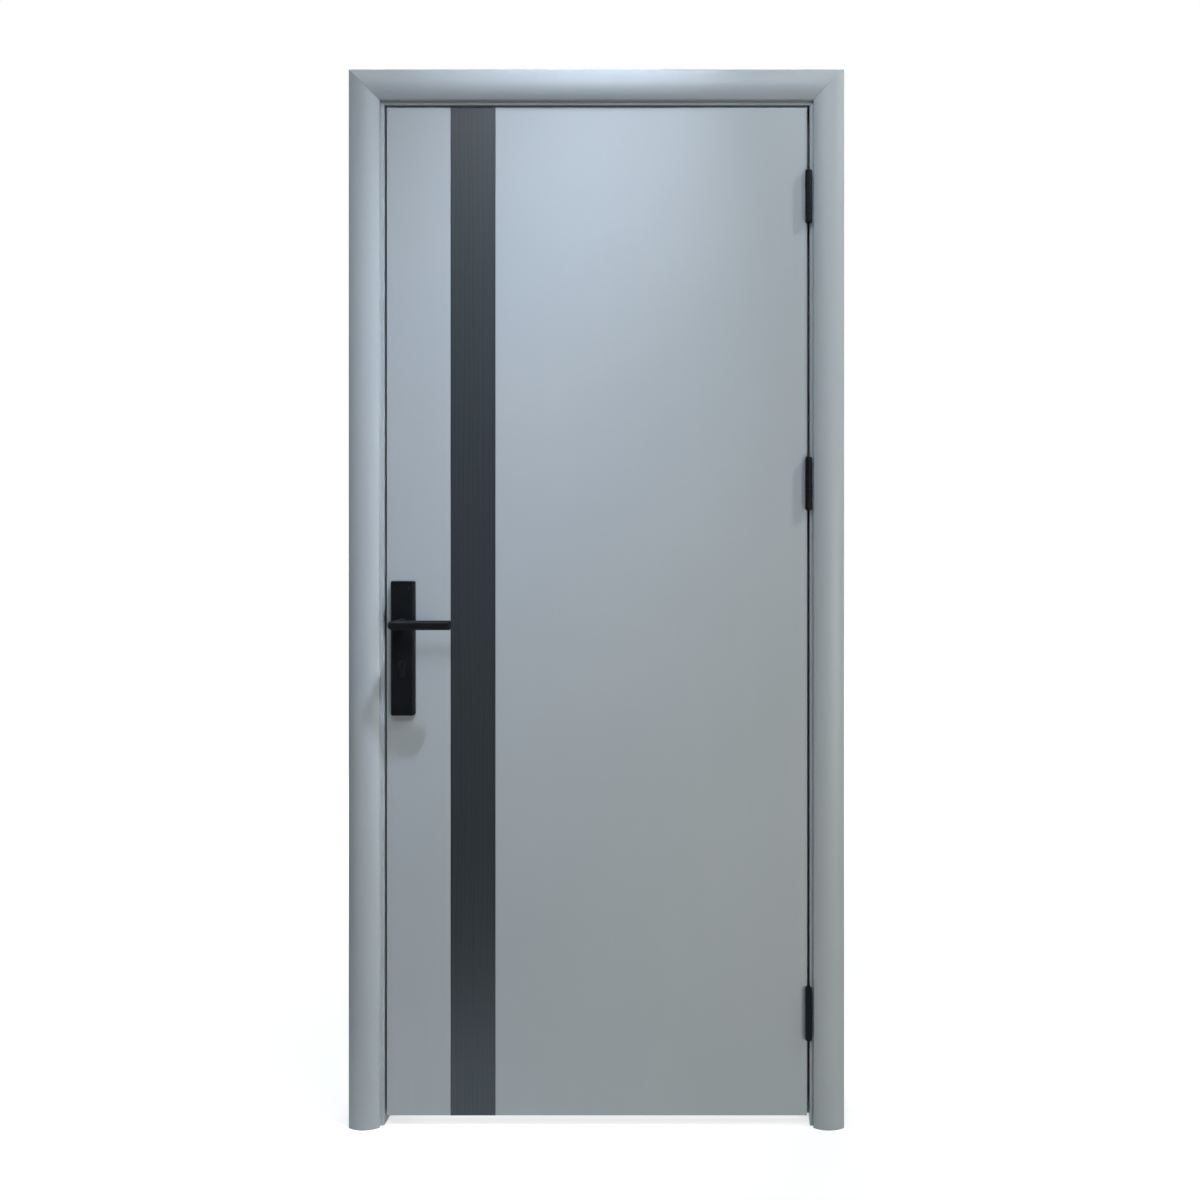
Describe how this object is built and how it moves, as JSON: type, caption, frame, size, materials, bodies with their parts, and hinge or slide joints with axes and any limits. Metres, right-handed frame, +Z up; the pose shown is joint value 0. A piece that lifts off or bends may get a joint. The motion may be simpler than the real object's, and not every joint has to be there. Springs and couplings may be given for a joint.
{
  "type": "hinged door with frame",
  "caption": "Side-hung flush interior door in a mitred, cased frame, grey-blue with a dark upright strip, black butt hinges and a lever handle on a long plate.",
  "frame": {"origin": "floor level on the wall face of the hinge jamb, half way through the wall", "axes": "+X from the opening into the wall on the hinge side, -Y towards the side that the leaf opens to, +Z up"},
  "size_m": [0.998, 0.2005, 2.132],
  "materials": {
    "grey_blue_paint": "satin grey-blue paint",
    "dark_laminate": "satin dark grey wood grain laminate",
    "black_hardware": "satin black coating",
    "lock_steel": "brushed",
    "seal_rubber": "matte"
  },
  "bodies": {
    "frame": {"back_head_casing": "grey_blue_paint", "back_hinge_casing": "grey_blue_paint", "back_lock_casing": "grey_blue_paint", "front_head_casing": "grey_blue_paint", "front_hinge_casing": "grey_blue_paint", "front_lock_casing": "grey_blue_paint", "head_jamb": "grey_blue_paint", "head_seal": "seal_rubber", "head_stop": "grey_blue_paint", "hinge_jamb": "grey_blue_paint", "hinge_seal": "seal_rubber", "hinge_stop": "grey_blue_paint", "lock_jamb": "grey_blue_paint", "lock_seal": "seal_rubber", "lock_stop": "grey_blue_paint", "lower_hinge_jamb_plate": "black_hardware", "lower_hinge_pin": "black_hardware", "middle_hinge_jamb_plate": "black_hardware", "middle_hinge_pin": "black_hardware", "strike_plate": "lock_steel", "upper_hinge_jamb_plate": "black_hardware", "upper_hinge_pin": "black_hardware"},
    "leaf": {"back_dark_strip": "dark_laminate", "back_handle_plate": "black_hardware", "back_hinge_board": "grey_blue_paint", "back_lock_board": "grey_blue_paint", "front_dark_strip": "dark_laminate", "front_handle_plate": "black_hardware", "front_hinge_board": "grey_blue_paint", "front_lock_board": "grey_blue_paint", "lower_hinge_leaf_plate": "black_hardware", "middle_hinge_leaf_plate": "black_hardware", "upper_hinge_leaf_plate": "black_hardware", "leaf_core": "grey_blue_paint", "lock_forend": "lock_steel", "latch_bolt": "lock_steel", "dead_bolt": "lock_steel", "key_cylinder": "lock_steel"},
    "lever": {"front_lever": "black_hardware", "back_lever": "black_hardware", "spindle": "lock_steel"}
  },
  "joints": [
    {"name": "door_swing", "type": "hinge", "parent": "frame", "child": "leaf", "pos_m": [-0.0425, -0.068, 1], "axis": [0, 0, 1], "range_deg": [0, 165]},
    {"name": "lever_turn", "type": "hinge", "parent": "leaf", "child": "lever", "pos_m": [-0.86, -0.04, 1.018], "axis": [0, 1, 0], "range_deg": [0, 45], "stiffness_Nm_per_rad": 1.2, "springref_deg": -28.65}
  ]
}
